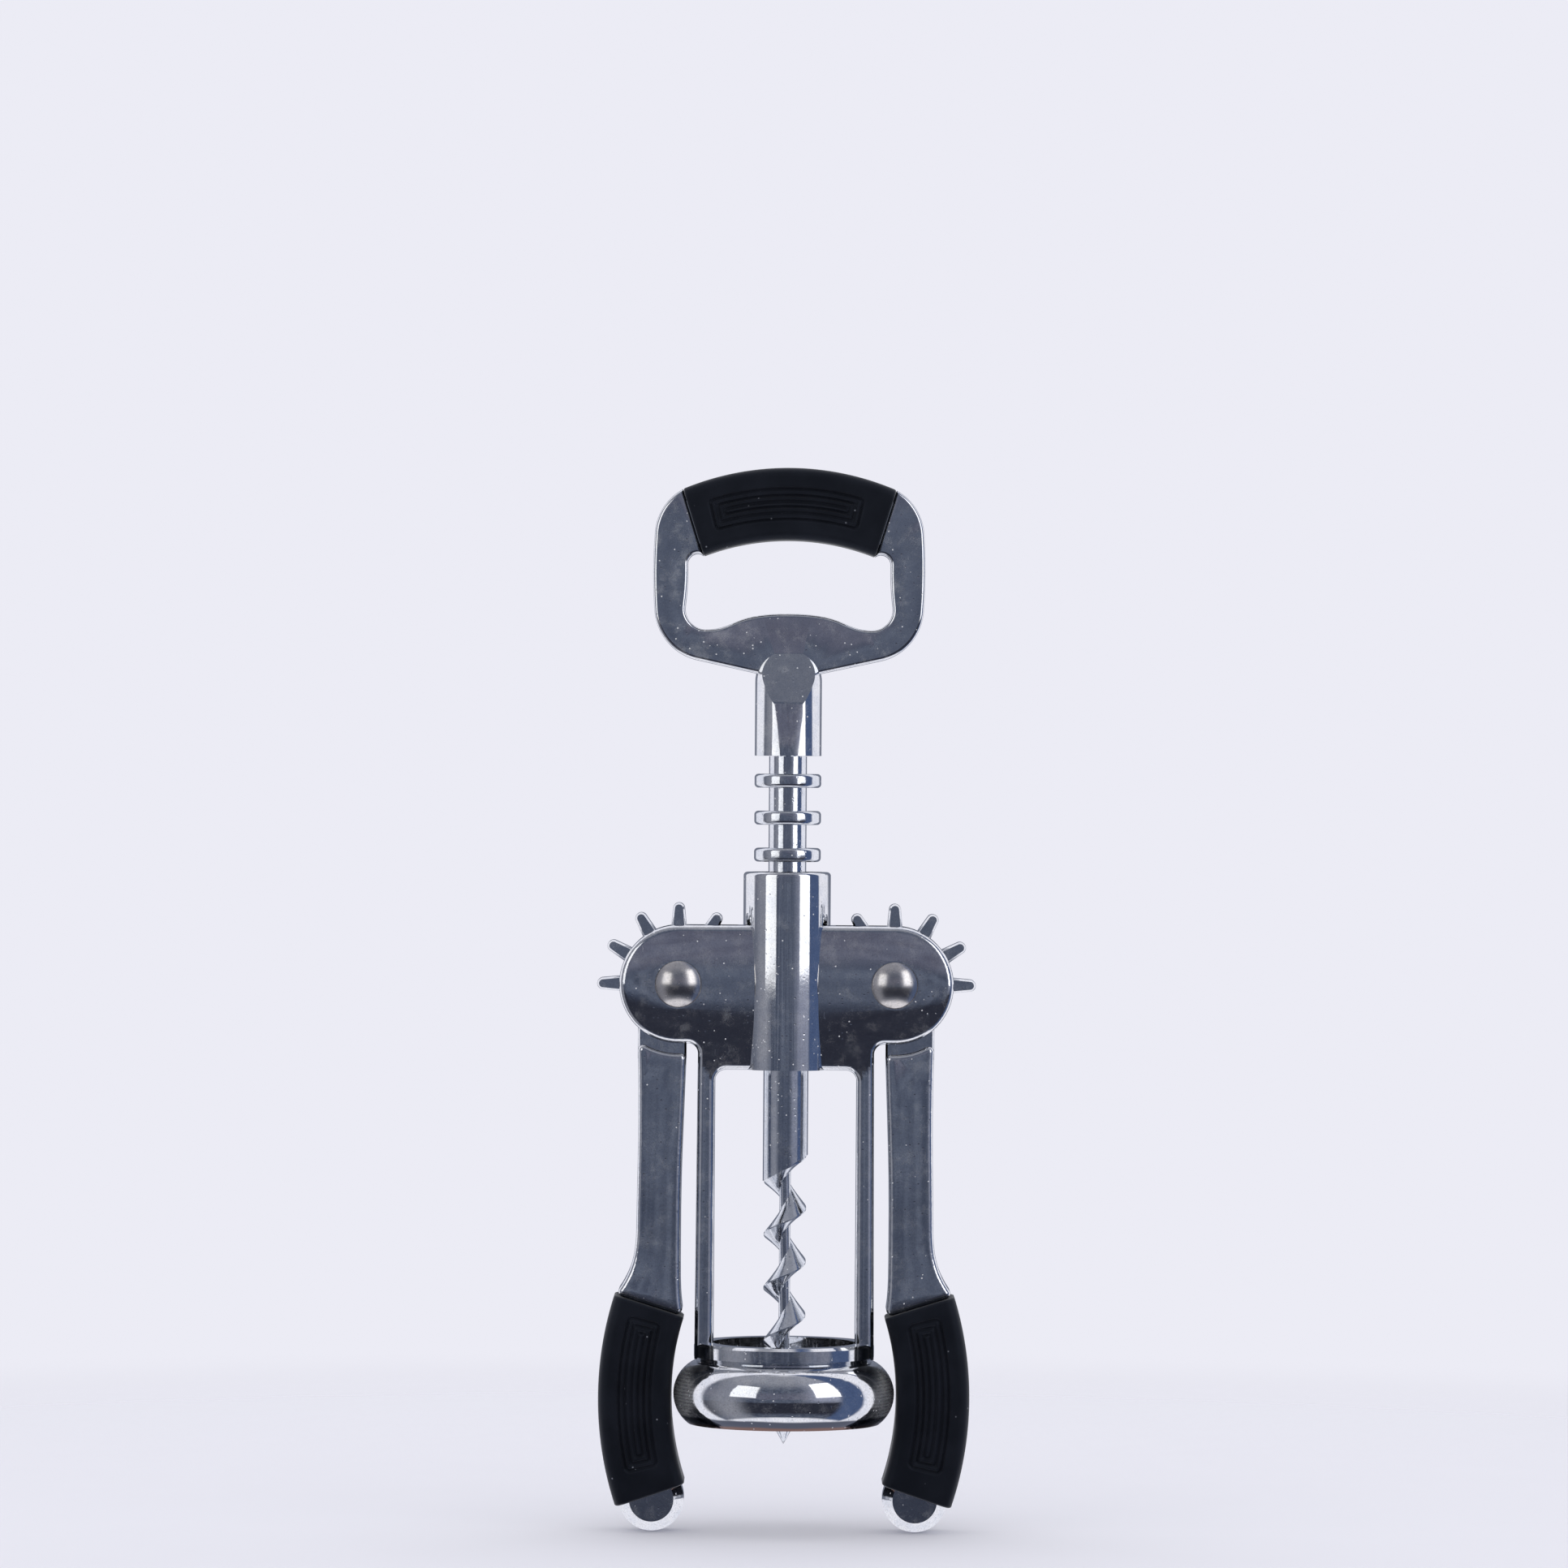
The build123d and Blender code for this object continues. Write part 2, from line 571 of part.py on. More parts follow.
def gear():
    """Thin toothed hub that runs in the slot between the ears, and its link to the arm."""
    hub = Circle(HUB_RADIUS)
    for index in range(TOOTH_COUNT):
        hub = hub + Rot(0, 0, 180 - index * 360 / TEETH_PER_TURN) * tooth_sketch()
    inside = ARM_INSIDE - PIVOT_X - ARM_TOP_FLARE
    outside = ARM_OUTSIDE - PIVOT_X
    depth = ARM_SHOULDER + OVERLAP
    link = Pos((inside + outside) / 2, -depth / 2) * Rectangle(outside - inside, depth)
    return bevelled(slab(Pos(PIVOT_X, PIVOT_Z) * (hub + link), HUB_THICKNESS), GEAR_BEVEL, GEAR_BEVEL_DEPTH)


def arm():
    """Thick arm from the round shoulder under the ears down to the rubber."""
    top_inside = ARM_INSIDE - PIVOT_X - ARM_TOP_FLARE
    top_outside = ARM_OUTSIDE - PIVOT_X
    shoulder = []
    for offset in (top_inside, (top_inside + top_outside) / 2, top_outside):
        shoulder.append((PIVOT_X + offset, PIVOT_Z - math.sqrt(ARM_SHOULDER**2 - offset**2)))
    outer_end = on_grip_arc(GRIP_OUTER_ARC, GRIP_UPPER_DEG)
    inner_end = on_grip_arc(GRIP_INNER_ARC, GRIP_UPPER_DEG)
    outer_bends = []
    for share, out in ARM_OUTER_BENDS:
        outer_bends.append((ARM_OUTSIDE + out, PIVOT_Z - share * (PIVOT_Z - outer_end.Y)))
    inner_bends = []
    for share, out in ARM_INNER_BENDS:
        inner_bends.append((ARM_INSIDE + out, PIVOT_Z - share * (PIVOT_Z - inner_end.Y)))
    outer_edge = Spline(shoulder[2], *outer_bends, outer_end, tangents=[(-ARM_LEAN, -1), (1, -1)])
    inner_edge = Spline(inner_end, *inner_bends, shoulder[0], tangents=[(0.25, 1), (-ARM_LEAN, 1)])
    outline = make_face(
        [ThreePointArc(*shoulder), outer_edge, Line(outer_end, inner_end), inner_edge],
    )
    plate = slab(outline, ARM_THICKNESS)
    return fillet(outline_edges(plate), ARM_ROUNDING)


def tip():
    """Round metal end below the rubber, with a bevelled rim."""
    centre = on_grip_arc(GRIP_INNER_ARC + GRIP_WIDTH / 2, -GRIP_LOWER_DEG - TIP_OVERHANG_DEG)
    outline = Pos(centre.X, centre.Y) * Circle(TIP_RADIUS) - grip_sketch(-OVERLAP, 0)
    return bevelled(slab(outline, ARM_THICKNESS), TIP_BEVEL, TIP_BEVEL_DEPTH, skip=(GeomType.LINE,))


def wing():
    """Right wing casting: gear, arm, core under the rubber and round tip."""
    core = slab(grip_sketch(RUBBER_WALL, WING_CORE_OVERRUN_DEG), WING_CORE_THICKNESS)
    pivot = Pos(PIVOT_X, PIVOT_Z) * Circle(RIVET_RADIUS + RIVET_RUNNING_GAP)
    pivot_hole = slab(pivot, 2 * ARM_THICKNESS)
    return gear() + arm() + core + tip() - pivot_hole


def wing_grip():
    """Right wing's curved rubber sleeve, with rounded long edges."""
    sleeve = slab(grip_sketch(0, 0), GRIP_THICKNESS)
    sleeve = fillet(long_arcs(sleeve), GRIP_ROUNDING)
    return sleeve - slab(grip_sketch(RUBBER_WALL, WING_CORE_OVERRUN_DEG), WING_CORE_THICKNESS)


def rivet():
    """Right pivot rivet: domed head at the front, low set head at the back."""
    seat = WEB_HALF_DEPTH - SPOT_FACE_DEPTH
    section = [
        Line((0, -seat - RIVET_HEAD_HEIGHT), (0, seat + RIVET_TAIL_HEIGHT)),
        TangentArc((0, -seat - RIVET_HEAD_HEIGHT), (RIVET_HEAD_RADIUS, -seat), tangent=(1, 0)),
        Line((RIVET_HEAD_RADIUS, -seat), (RIVET_RADIUS, -seat)),
        Line((RIVET_RADIUS, -seat), (RIVET_RADIUS, seat)),
        Line((RIVET_RADIUS, seat), (RIVET_TAIL_RADIUS, seat)),
        TangentArc((0, seat + RIVET_TAIL_HEIGHT), (RIVET_TAIL_RADIUS, seat), tangent=(1, 0)),
    ]
    return Pos(PIVOT_X, 0, PIVOT_Z) * revolve(make_face(section), Axis.Y)


pieces = {
    "frame_casting": frame_casting(),
    "ringed_rack": ringed_rack(),
    "worm": worm(),
    "worm_pin": worm_pin(),
    "handle_casting": handle_casting(),
    "handle_grip": handle_grip(),
}
for name, right_piece in (("lever", wing()), ("lever_grip", wing_grip()), ("rivet", rivet())):
    pieces["right_" + name] = right_piece
    pieces["left_" + name] = mirror(right_piece, about=Plane.YZ)

os.makedirs("parts", exist_ok=True)
for name, piece in pieces.items():
    export_step(piece, f"parts/{name}.step")
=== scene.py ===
import bmesh
import bpy
import math
from mathutils import Matrix, Vector


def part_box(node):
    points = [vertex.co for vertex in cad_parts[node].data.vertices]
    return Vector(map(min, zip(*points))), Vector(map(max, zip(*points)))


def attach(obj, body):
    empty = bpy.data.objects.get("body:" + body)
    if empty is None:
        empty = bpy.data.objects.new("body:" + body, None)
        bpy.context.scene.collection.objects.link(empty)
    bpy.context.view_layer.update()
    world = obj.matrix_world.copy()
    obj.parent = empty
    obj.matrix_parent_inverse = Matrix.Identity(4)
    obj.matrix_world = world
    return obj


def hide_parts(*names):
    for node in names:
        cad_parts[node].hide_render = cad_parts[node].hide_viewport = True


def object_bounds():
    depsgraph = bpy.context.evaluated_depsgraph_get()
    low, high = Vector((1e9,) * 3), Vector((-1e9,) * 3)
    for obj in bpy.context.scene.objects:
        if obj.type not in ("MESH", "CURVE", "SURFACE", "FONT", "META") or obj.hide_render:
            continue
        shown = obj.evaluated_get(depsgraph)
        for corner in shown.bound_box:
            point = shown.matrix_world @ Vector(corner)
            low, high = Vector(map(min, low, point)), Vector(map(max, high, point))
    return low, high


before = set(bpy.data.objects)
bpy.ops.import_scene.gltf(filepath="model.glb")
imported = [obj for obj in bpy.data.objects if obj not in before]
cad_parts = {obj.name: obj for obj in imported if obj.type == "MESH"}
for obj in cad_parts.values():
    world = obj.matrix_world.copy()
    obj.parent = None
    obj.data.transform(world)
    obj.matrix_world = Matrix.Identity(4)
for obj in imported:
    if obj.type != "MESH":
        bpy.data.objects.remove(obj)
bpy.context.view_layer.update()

# ---------------------------------------------------------------- camera
# The tool is seen square on from the front, from far enough away that only the bell shows its top.
# The camera leans a hair, so the tool stands a little out of plumb.
CAMERA_DISTANCE = 1.3
CAMERA_LEAN = -0.4
VIEW_WIDTH = 0.282
VIEW_HEIGHT = 0.1149
VIEW_ASIDE = -0.0007


def put_in_scene(name, data):
    """New object in the scene, at the origin."""
    thing = bpy.data.objects.new(name, data)
    bpy.context.scene.collection.objects.link(thing)
    return thing


camera_data = bpy.data.cameras.new("camera")
camera_data.sensor_width = 36.0
camera_data.lens = camera_data.sensor_width * CAMERA_DISTANCE / VIEW_WIDTH
camera_data.clip_start = 0.05
camera_data.clip_end = 50.0
camera = put_in_scene("camera", camera_data)
camera.rotation_euler = (math.radians(90.0), math.radians(CAMERA_LEAN), 0.0)
camera.location = (VIEW_ASIDE, -CAMERA_DISTANCE, VIEW_HEIGHT)
bpy.context.scene.camera = camera
bpy.context.scene.view_settings.view_transform = "Standard"


# ---------------------------------------------------------------- frame casting
# Bell, legs, ears and guide tube are one zinc die casting, polished and bright chromed.
# It keeps faint waves, pits, dust and hair scratches from tumbling and handling.
class Wire:
    """One output socket, so that shader sums read as sums."""

    def __init__(self, socket):
        self.socket = socket

    def add_node(self, *what, **more):
        return NodeBench(self.socket.id_data).add(*what, **more)

    def sum_node(self, operation, *terms):
        return self.add_node("ShaderNodeMath", {"operation": operation}, dict(enumerate(terms)))

    def __add__(self, other):
        return self.sum_node("ADD", self, other)

    def __radd__(self, other):
        return self.sum_node("ADD", other, self)

    def __sub__(self, other):
        return self.sum_node("SUBTRACT", self, other)

    def __rsub__(self, other):
        return self.sum_node("SUBTRACT", other, self)

    def __mul__(self, other):
        return self.sum_node("MULTIPLY", self, other)

    def __rmul__(self, other):
        return self.sum_node("MULTIPLY", other, self)

    def __truediv__(self, other):
        return self.sum_node("DIVIDE", self, other)

    def __rtruediv__(self, other):
        return self.sum_node("DIVIDE", other, self)

    def __gt__(self, other):
        return self.sum_node("GREATER_THAN", self, other)

    def __lt__(self, other):
        return self.sum_node("LESS_THAN", self, other)

    def math(self, operation, *others):
        return self.sum_node(operation, self, *others)

    def of(self, name):
        """Another output of the same node."""
        return Wire(self.socket.node.outputs[name])

    def ramp(self, low, high):
        """0 below low, 1 above high, eased between."""
        return self.add_node(
            "ShaderNodeMapRange",
            {"interpolation_type": "SMOOTHSTEP"},
            {"Value": self, "From Min": low, "From Max": high},
            out="Result",
        )


class NodeBench:
    """Adds nodes to one tree: type, settings, then values or wires for its sockets."""

    def __init__(self, tree):
        self.tree = tree

    def add(self, kind, settings=None, inputs=None, out=0):
        node = self.tree.nodes.new(kind)
        for name, value in (settings or {}).items():
            setattr(node, name, value)
        for name, value in (inputs or {}).items():
            if isinstance(value, Wire):
                self.tree.links.new(value.socket, node.inputs[name])
            else:
                node.inputs[name].default_value = value
        return Wire(node.outputs[out]) if len(node.outputs) else None

    def mix_color(self, amount, first, second):
        return self.add(
            "ShaderNodeMix",
            {"data_type": "RGBA"},
            {0: amount, 6: first, 7: second},
            out=2,
        )

    def noise(self, place, scale, detail, rough=0.5, out=0):
        """Cloudy pattern, with its scale in waves per metre."""
        return self.add(
            "ShaderNodeTexNoise",
            {},
            {"Vector": place, "Scale": scale, "Detail": detail, "Roughness": rough},
            out=out,
        )

    def specks(self, place, scale, core, rim, share, lot="Red"):
        """Round specks in a share of the cells, full inside core and gone at rim."""
        cell = self.add("ShaderNodeTexVoronoi", {}, {"Vector": place, "Scale": scale}, out="Distance")
        drawn = self.add("ShaderNodeSeparateColor", {}, {"Color": cell.of("Color")}, out=lot)
        return (1 - cell.ramp(core, rim)) * (drawn < share)


def new_finish(name):
    """Empty material and the bench to build it on."""
    material = bpy.data.materials.new(name)
    material.use_nodes = True
    material.node_tree.nodes.clear()
    return material, NodeBench(material.node_tree)


MM = 0.001


def close_finish(bench, height, look):
    """Principled shader with the look's values and a bump of the height, which is in mm."""
    bump = bench.add("ShaderNodeBump", {}, {"Strength": 1.0, "Distance": MM, "Height": height})
    shader = bench.add("ShaderNodeBsdfPrincipled", {}, {**look, "Normal": bump})
    bench.add("ShaderNodeOutputMaterial", {}, {"Surface": shader})


def scratches(bench, place, turn, spacing, length, share):
    """Hair lines along one direction: 1 on a scratch, 0 beside it. Sizes in metres."""
    hair_width, crook = 0.11, (0.6, 0.6, 0.6)
    turned = bench.add(
        "ShaderNodeMapping",
        {},
        {"Vector": place, "Rotation": turn, "Scale": (1 / spacing, 1 / spacing, 1 / length)},
    )
    wander = bench.noise(place, scale=90.0, detail=1.0, out="Color")
    bent = bench.add(
        "ShaderNodeVectorMath",
        {"operation": "MULTIPLY_ADD"},
        {0: wander, 1: crook, 2: turned},
    )
    cell = bench.add("ShaderNodeTexVoronoi", {}, {"Vector": bent, "Scale": 1.0}, out="Distance")
    lot = bench.add("ShaderNodeSeparateColor", {}, {"Color": cell.of("Color")}, out="Red")
    return (cell < hair_width) * (lot < share)


# where the bell's marks begin and end: its height, the distance from its middle, and its rim's bands
# of painted reflection
BELL_SHOULDER = (10.5 * MM, 12.5 * MM)
BELL_FLANK = (15.0 * MM, 17.8 * MM)
RIM_REFLECTED_SHADE_TO = (1.8 * MM, 2.2 * MM)
RIM_REFLECTED_BROWN_TO = (0.6 * MM, 1.0 * MM)


def turning_marks(bench, place):
    """Fine rings left on the bell by the lathe, and where they are coarse enough to dull the shine."""
    fine, coarse = 0.001, 0.006
    up = bench.add("ShaderNodeSeparateXYZ", {}, {"Vector": place}, out="Z")
    aside = bench.add("ShaderNodeSeparateXYZ", {}, {"Vector": place}, out="X").math("ABSOLUTE")
    rings = bench.add(
        "ShaderNodeTexWave",
        {"wave_type": "BANDS", "bands_direction": "Z", "wave_profile": "SIN"},
        {"Vector": place, "Scale": 520.0, "Distortion": 1.2, "Detail": 2.0, "Detail Scale": 1.5},
        out="Fac",
    )
    on_bell = 1 - up.ramp(*BELL_SHOULDER)
    flank = aside.ramp(*BELL_FLANK) * on_bell
    return rings * on_bell * (fine + flank * coarse), flank * (0.7 + rings * 0.3)


def painted_rim_reflection(bench, place, colour):
    """Painted reflection of shaded ground below the bell: a dull dark band round its lower edge, a
    little brown at the very bottom.
    """
    # colours of the painted reflection: shaded ground, and brown ground at the very bottom
    reflected_shade_grey = (0.09, 0.10, 0.13, 1.0)
    reflected_ground_brown = (0.20, 0.12, 0.10, 1.0)
    up = bench.add("ShaderNodeSeparateXYZ", {}, {"Vector": place}, out="Z")
    edge = up + bench.noise(place, scale=120.0, detail=2.0) * (0.5 * MM)
    painted_dark_band = bench.mix_color(1 - edge.ramp(*RIM_REFLECTED_SHADE_TO), colour, reflected_shade_grey)
    return bench.mix_color(1 - edge.ramp(*RIM_REFLECTED_BROWN_TO), painted_dark_band, reflected_ground_brown)


def darker(tint, red, green, blue):
    return (tint[0] * red, tint[1] * green, tint[2] * blue, 1.0)


def chrome(
    name,
    tint,
    wave=0.013,
    grain=0.0022,
    pit_share=0.16,
    dust_share=0.14,
    roughness=0.055,
    film=0.075,
    bell=False,
):
    """Bright plating: waves and grain in mm, shares of pits and dust specks per cell."""
    pit_depth, scratch_depth = 0.012, 0.002
    dust_grey = (0.70, 0.71, 0.76, 1.0)
    material, bench = new_finish(name)
    place = bench.add("ShaderNodeTexCoord", out="Object")
    waves = bench.noise(place, scale=95.0, detail=2.0, rough=0.4)
    peel = bench.noise(place, scale=1500.0, detail=3.0, rough=0.6)
    mottle = bench.noise(place, scale=3600.0, detail=2.0, rough=0.7)
    smudge = bench.noise(place, scale=220.0, detail=4.0, rough=0.6)
    cloud = bench.noise(place, scale=330.0, detail=5.0, rough=0.7)
    haze = smudge.ramp(0.50, 0.75)

    # pits lie all over, and dust lies on cells turned so that no face cuts through a row of them
    pit = bench.specks(place, 1300.0, core=0.10, rim=0.26, share=pit_share)
    turned_place = bench.add(
        "ShaderNodeMapping",
        {},
        {"Vector": place, "Location": (0.3, 0.7, 0.1), "Rotation": (0.6, 0.4, 0.9)},
    )
    dust = bench.specks(turned_place, 1100.0, core=0.06, rim=0.20, share=dust_share, lot="Green")
    upright = scratches(bench, place, (0.1, 0.35, 0.2), spacing=0.6 * MM, length=9.0 * MM, share=0.05)
    slanting = scratches(bench, place, (0.4, 1.1, 0.9), spacing=0.8 * MM, length=6.0 * MM, share=0.035)
    scored = upright.math("MAXIMUM", slanting)

    height = waves * wave + peel * grain - pit * pit_depth - scored * scratch_depth
    rub = roughness + haze * 0.07 + scored * 0.22 + dust * 0.4 + pit * 0.15
    wear_and_rim_reflection = bench.mix_color(haze * 0.35, (*tint, 1.0), darker(tint, 0.82, 0.82, 0.82))
    wear_and_rim_reflection = bench.mix_color(mottle.ramp(0.42, 0.72) * 0.45, wear_and_rim_reflection, darker(tint, 0.62, 0.62, 0.62))
    wear_and_rim_reflection = bench.mix_color(cloud.ramp(0.42, 0.64) * 0.24, wear_and_rim_reflection, darker(tint, 0.52, 0.58, 0.70))
    dull_film = (1 - cloud.ramp(0.30, 0.50)) * film + mottle.ramp(0.60, 0.75) * film
    if bell:
        turned, flank = turning_marks(bench, place)
        height = height + turned
        rub = rub + flank * 0.28
        # on the bell, the base colour also gets a painted reflection of shaded ground round its lower
        # rim
        wear_and_rim_reflection = painted_rim_reflection(bench, place, wear_and_rim_reflection)
        dull_film = dull_film + flank * 0.16
    look = {
        "Base Color": bench.mix_color(dust, wear_and_rim_reflection, dust_grey),
        "Metallic": 1 - dust * 0.9 - dull_film,
        "Roughness": rub,
    }
    close_finish(bench, height, look)
    return material


CASTING_TINT = (0.88, 0.885, 0.89)
casting_chrome = chrome("casting_chrome", CASTING_TINT, bell=True)
WELD_DISTANCE = 0.2e-3 * MM
SPLINTER_LENGTH = 0.1e-3 * MM
CASTING_EDGE = math.radians(32.0)


def smooth_copy(name, node, material, body):
    """Merged copy of a node's mesh with clean shading, standing for that node."""
    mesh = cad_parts[node].data.copy()
    mesh.name = name
    work = bmesh.new()
    work.from_mesh(mesh)
    bmesh.ops.remove_doubles(work, verts=work.verts, dist=WELD_DISTANCE)
    bmesh.ops.dissolve_degenerate(work, edges=work.edges, dist=SPLINTER_LENGTH)
    work.to_mesh(mesh)
    work.free()
    for layer in [a.name for a in mesh.attributes if a.name == "custom_normal"]:
        mesh.attributes.remove(mesh.attributes[layer])
    mesh.shade_smooth()
    mesh.set_sharp_from_angle(angle=CASTING_EDGE)
    mesh.materials.clear()
    mesh.materials.append(material)
    piece = put_in_scene(name, mesh)
    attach(piece, body)
    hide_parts(node)


smooth_copy("frame_body", "frame_casting", casting_chrome, "frame")

# ---------------------------------------------------------------- ringed rack
# Zinc stem cast with seven rings that the wings' teeth push, sliding in the guide tube.
# It is chromed as it came from the die, so its skin is grainier than the frame's.
rack_chrome = chrome(
    "rack_chrome",
    (0.84, 0.855, 0.875),
    wave=0.055,
    grain=0.010,
    pit_share=0.3,
    roughness=0.09,
)
smooth_copy("rack_stem", "ringed_rack", rack_chrome, "rack")

# ---------------------------------------------------------------- worm and its pin
# Cast steel auger with sharp flights, barrel plated. Its thin tail runs up through the rack.
# A cross pin through the handle's boss ties it to the handle, so both turn as one.
worm_plate = chrome(
    "worm_plate",
    (0.82, 0.84, 0.87),
    wave=0.05,
    grain=0.006,
    pit_share=0.35,
    roughness=0.12,
)
smooth_copy("worm_screw", "worm", worm_plate, "handle")
smooth_copy("cross_pin", "worm_pin", worm_plate, "handle")

# ---------------------------------------------------------------- handle
# Flat loop with a round boss, cast in zinc and chromed, whose opening lifts caps.
# The top bar carries the rubber sleeve, and the boss stands on the top of the rack.
handle_chrome = chrome(
    "handle_chrome",
    CASTING_TINT,
    wave=0.016,
    dust_share=0.2,
    roughness=0.08,
    film=0.11,
)
smooth_copy("handle_loop", "handle_casting", handle_chrome, "handle")

# ---------------------------------------------------------------- wings
# Left and right castings in chromed zinc: thin gear at the top, thick arm, round end below the rubber.
# Each turns on its rivet between the frame's ears, and its teeth sit between the rack's rings.
wing_chrome = chrome("wing_chrome", CASTING_TINT, wave=0.014, dust_share=0.10, roughness=0.06)
for side in ("left", "right"):
    smooth_copy(side + "_wing_arm", side + "_lever", wing_chrome, side + "_wing")

# ---------------------------------------------------------------- rivets
# Solid nickel rivets with a satin dome at the front and a low set head at the back.
# They are driven through both ears and the wing's hub, which turns on them.
rivet_nickel = chrome(
    "rivet_nickel",
    (0.82, 0.78, 0.74),
    wave=0.006,
    grain=0.004,
    pit_share=0.1,
    roughness=0.24,
)
for side in ("left", "right"):
    smooth_copy(side + "_pivot_rivet", side + "_rivet", rivet_nickel, "frame")


# ---------------------------------------------------------------- rubber sleeves
# Black rubber moulded over the handle's top bar and over both wings' arms.
# Each face carries three nested grooves, and dust clings to the skin.
def rubber(name):
    """Near-black rubber with a fine moulded skin and a few dust specks."""
    black, blue_black = (0.0026, 0.0032, 0.0066, 1.0), (0.0048, 0.0056, 0.0108, 1.0)
    dust_grey = (0.32, 0.33, 0.38, 1.0)
    skin_depth, dust_height = 0.006, 0.02
    material, bench = new_finish(name)
    place = bench.add("ShaderNodeTexCoord", out="Object")
    cloud = bench.noise(place, scale=160.0, detail=3.0)
    skin = bench.noise(place, scale=5200.0, detail=3.0, rough=0.7)
    dust = bench.specks(place, 520.0, core=0.03, rim=0.11, share=0.30)
    dark = bench.mix_color(cloud.ramp(0.35, 0.7), black, blue_black)
    look = {
        "Base Color": bench.mix_color(dust * 0.55, dark, dust_grey),
        "Roughness": 0.47 + cloud * 0.16,
        "Specular IOR Level": 0.36,
        "Sheen Weight": 0.30,
        "Sheen Roughness": 0.35,
        "Specular Tint": (0.72, 0.82, 1.0, 1.0),
    }
    close_finish(bench, skin * skin_depth + dust * dust_height, look)
    return material


grip_rubber = rubber("grip_rubber")
GROOVES_PER_FACE = 3
CORNER_STEPS = 8
FACE_STARTS_AT = 0.98
SEAM_WELD = 0.001 * MM
SLEEVE_EDGE = math.radians(50.0)


